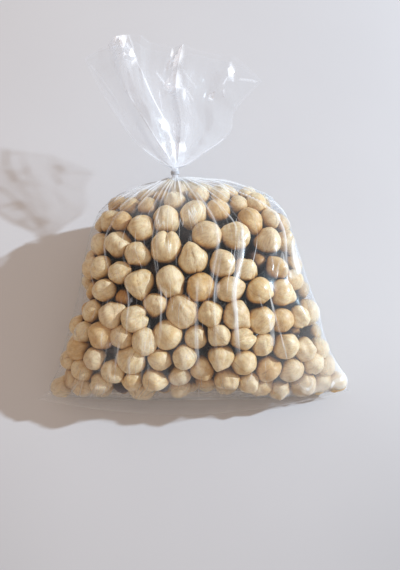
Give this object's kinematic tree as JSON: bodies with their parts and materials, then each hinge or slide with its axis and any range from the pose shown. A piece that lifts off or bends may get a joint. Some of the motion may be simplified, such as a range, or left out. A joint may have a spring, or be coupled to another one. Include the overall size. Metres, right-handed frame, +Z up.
{
  "type": "bag of hazelnuts",
  "caption": "Clear film bag full of skinned hazelnut kernels, lying on its back, sealed flat at the bottom and tied near the top, with its open mouth spread beyond the tie.",
  "frame": {"origin": "middle of the footprint, on the surface that the bag lies on", "axes": "+Z up, +Y from the sealed bottom end towards the tied neck and the open mouth, +X to the right seen from the sealed end"},
  "size_m": [0.1724, 0.2024, 0.0699],
  "materials": {
    "kernels": "cream skinned kernels, satin, with tan and golden patches",
    "film": "clear glossy film with fine creases",
    "tie": "whitish elastic thread wound in three turns"
  },
  "bodies": {
    "root": {"bag": "kernels", "tie": "tie"}
  },
  "joints": []
}
